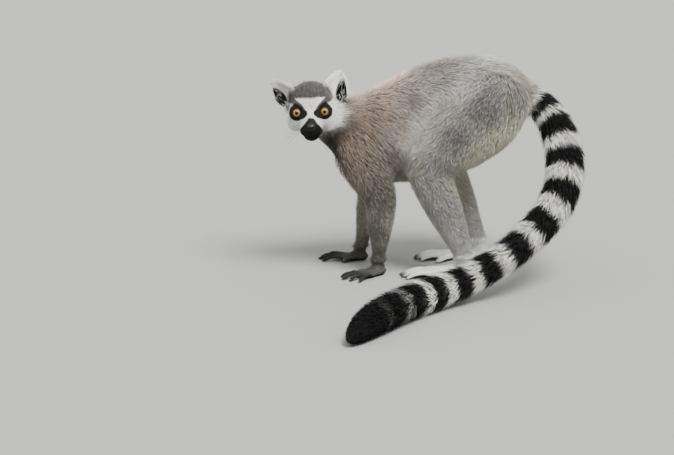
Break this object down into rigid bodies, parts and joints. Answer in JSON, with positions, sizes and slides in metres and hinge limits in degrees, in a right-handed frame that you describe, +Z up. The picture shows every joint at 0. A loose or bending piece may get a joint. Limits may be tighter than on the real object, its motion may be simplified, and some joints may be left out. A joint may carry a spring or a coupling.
{
  "type": "ring-tailed lemur, still model",
  "caption": "Life-size ring-tailed lemur standing on all fours, head turned to its left, banded tail laid forward along the floor.",
  "frame": {"origin": "on the floor, under the middle of the box round the whole animal", "axes": "+Z up, -X the way the body faces, -Y the animal's left, where the head looks and the tail ends"},
  "size_m": [0.4304, 0.492, 0.3028],
  "materials": {
    "face_fur": "very short white fur on face and ears, grey crown, black eye patches and muzzle",
    "body_fur": "dense short fur, brown-grey on the back, grey on the limbs, cream below",
    "paw_fur": "very short pale fur over dark skin, grey on the hands and white on the feet",
    "tail_fur": "long soft fur in black and white rings, black at the tip",
    "nose_skin": "moist black bare skin; the claws and nails are of the same colour",
    "eye": "wet cornea over an amber iris and a black pupil"
  },
  "bodies": {
    "root": {"head": "face_fur", "ear_left": "face_fur", "ear_right": "face_fur", "nose": "nose_skin", "eye_left": "eye", "eye_right": "eye", "neck": "body_fur", "trunk": "body_fur", "upper_arm_left": "body_fur", "upper_arm_right": "body_fur", "forearm_left": "body_fur", "forearm_right": "body_fur", "thigh_left": "body_fur", "thigh_right": "body_fur", "shank_left": "body_fur", "shank_right": "body_fur", "hand_left": "paw_fur", "hand_right": "paw_fur", "foot_left": "paw_fur", "foot_right": "paw_fur", "tail_1": "tail_fur", "tail_2": "tail_fur", "tail_3": "tail_fur", "tail_4": "tail_fur", "tail_5": "tail_fur", "tail_6": "tail_fur", "tail_7": "tail_fur"}
  },
  "joints": []
}
